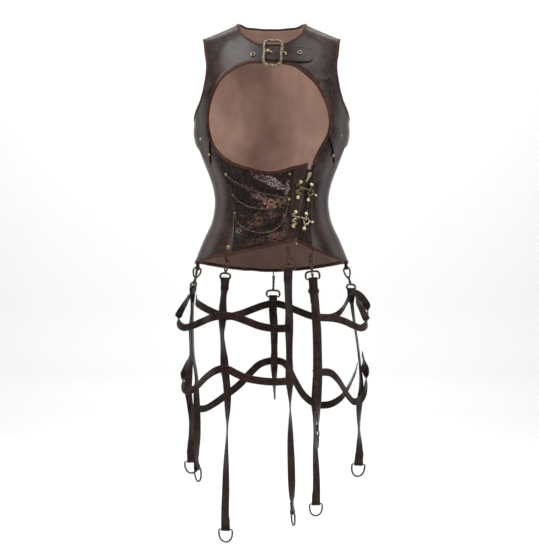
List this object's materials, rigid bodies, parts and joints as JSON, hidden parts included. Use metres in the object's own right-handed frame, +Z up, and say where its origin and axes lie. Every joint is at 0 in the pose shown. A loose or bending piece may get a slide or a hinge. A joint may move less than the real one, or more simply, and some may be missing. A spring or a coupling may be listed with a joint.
{
  "type": "sleeveless jacket",
  "caption": "Sleeveless corset jacket of dark leather, hollow as worn, with a round bust opening, slanted zip with clasps, neck buckle, draped chains and a hanging cage of straps and bands",
  "frame": {"origin": "midway between the shoulders, where the wearer carries the jacket", "axes": "+Z up along the height, the front faces -Y, +X is the wearer's left"},
  "size_m": [0.4455, 0.2443, 1.1754],
  "materials": {
    "smooth_leather": "worn satin, soft grey highlights",
    "crackled_leather": "crackled gloss with copper patches",
    "strap_leather": "satin",
    "bound_edge": "satin",
    "lining": "matt",
    "gunmetal": "dark polished",
    "bronze": "dark antique",
    "antique_brass": "antique",
    "pale_gold": "bright"
  },
  "bodies": {
    "vest": {"side_right": "smooth_leather", "front_panel": "crackled_leather", "placket_right": "smooth_leather", "placket_left": "crackled_leather", "side_left": "smooth_leather", "yoke_right": "smooth_leather", "yoke_left": "smooth_leather", "back": "smooth_leather", "lining_back": "lining", "binding_neck": "bound_edge", "binding_armhole_left": "bound_edge", "binding_armhole_right": "bound_edge", "binding_bust": "bound_edge", "strap_side_right": "strap_leather", "strap_back_right": "strap_leather", "strap_front_right": "strap_leather", "strap_back": "strap_leather", "strap_centre": "strap_leather", "strap_front_left": "strap_leather", "strap_back_left": "strap_leather", "strap_side_left": "strap_leather", "hook_side_right": "bronze", "hook_back_right": "bronze", "hook_front_right": "bronze", "hook_back": "bronze", "hook_centre": "bronze", "hook_front_left": "bronze", "hook_back_left": "bronze", "hook_side_left": "bronze", "binding_hem": "bound_edge", "band_upper_front_right": "strap_leather", "band_upper_back": "strap_leather", "band_upper_front_left": "strap_leather", "band_lower_front_right": "strap_leather", "band_lower_back": "strap_leather", "band_lower_front_left": "strap_leather", "collar_strap": "smooth_leather", "eyelet_right": "antique_brass", "eyelet_middle": "antique_brass", "eyelet_left": "antique_brass", "buckle_frame": "antique_brass", "buckle_tongue": "antique_brass", "clasp_upper_plate": "antique_brass", "clasp_upper_catch": "antique_brass", "clasp_lower_plate": "pale_gold", "clasp_lower_catch": "pale_gold", "zip_chain": "antique_brass", "zip_slider": "antique_brass", "chain_upper": "antique_brass", "chain_middle": "antique_brass", "chain_lower": "antique_brass"},
    "dring_side_right_body": {"dring_side_right": "gunmetal"},
    "dring_back_right_body": {"dring_back_right": "gunmetal"},
    "dring_front_right_body": {"dring_front_right": "gunmetal"},
    "dring_centre_body": {"dring_centre": "gunmetal"},
    "dring_front_left_body": {"dring_front_left": "gunmetal"},
    "dring_back_left_body": {"dring_back_left": "gunmetal"},
    "dring_side_left_body": {"dring_side_left": "gunmetal"},
    "zip_pull_body": {"zip_pull": "antique_brass"}
  },
  "joints": [
    {"name": "dring_side_right_swing", "type": "hinge", "parent": "vest", "child": "dring_side_right_body", "pos_m": [-0.17, -0.02, -1], "axis": [0.3943, 0.912, 0.1134], "range_deg": [-85, 85]},
    {"name": "dring_back_right_swing", "type": "hinge", "parent": "vest", "child": "dring_back_right_body", "pos_m": [-0.1865, 0.033, -0.989], "axis": [0.9892, 0.1393, 0.045], "range_deg": [-85, 85]},
    {"name": "dring_front_right_swing", "type": "hinge", "parent": "vest", "child": "dring_front_right_body", "pos_m": [-0.103, -0.091, -1.124], "axis": [0.9702, -0.242, 0.0143], "range_deg": [-85, 85]},
    {"name": "dring_centre_swing", "type": "hinge", "parent": "vest", "child": "dring_centre_body", "pos_m": [0.0465, -0.108, -1.084], "axis": [0.2401, 0.9705, 0.0215], "range_deg": [-85, 85]},
    {"name": "dring_front_left_swing", "type": "hinge", "parent": "vest", "child": "dring_front_left_body", "pos_m": [0.102, -0.095, -0.914], "axis": [0.1392, 0.9903, 0], "range_deg": [-85, 85]},
    {"name": "dring_back_left_swing", "type": "hinge", "parent": "vest", "child": "dring_back_left_body", "pos_m": [0.105, 0.088, -1.098], "axis": [0.9702, 0.2419, -0.0101], "range_deg": [-85, 85]},
    {"name": "dring_side_left_swing", "type": "hinge", "parent": "vest", "child": "dring_side_left_body", "pos_m": [0.198, -0.024, -0.988], "axis": [0.9582, 0.2764, -0.0738], "range_deg": [-85, 85]},
    {"name": "zip_pull_swing", "type": "hinge", "parent": "vest", "child": "zip_pull_body", "pos_m": [0.08491, -0.09168, -0.33465], "axis": [-0.7696, -0.4516, 0.4514], "range_deg": [0, 140]}
  ]
}
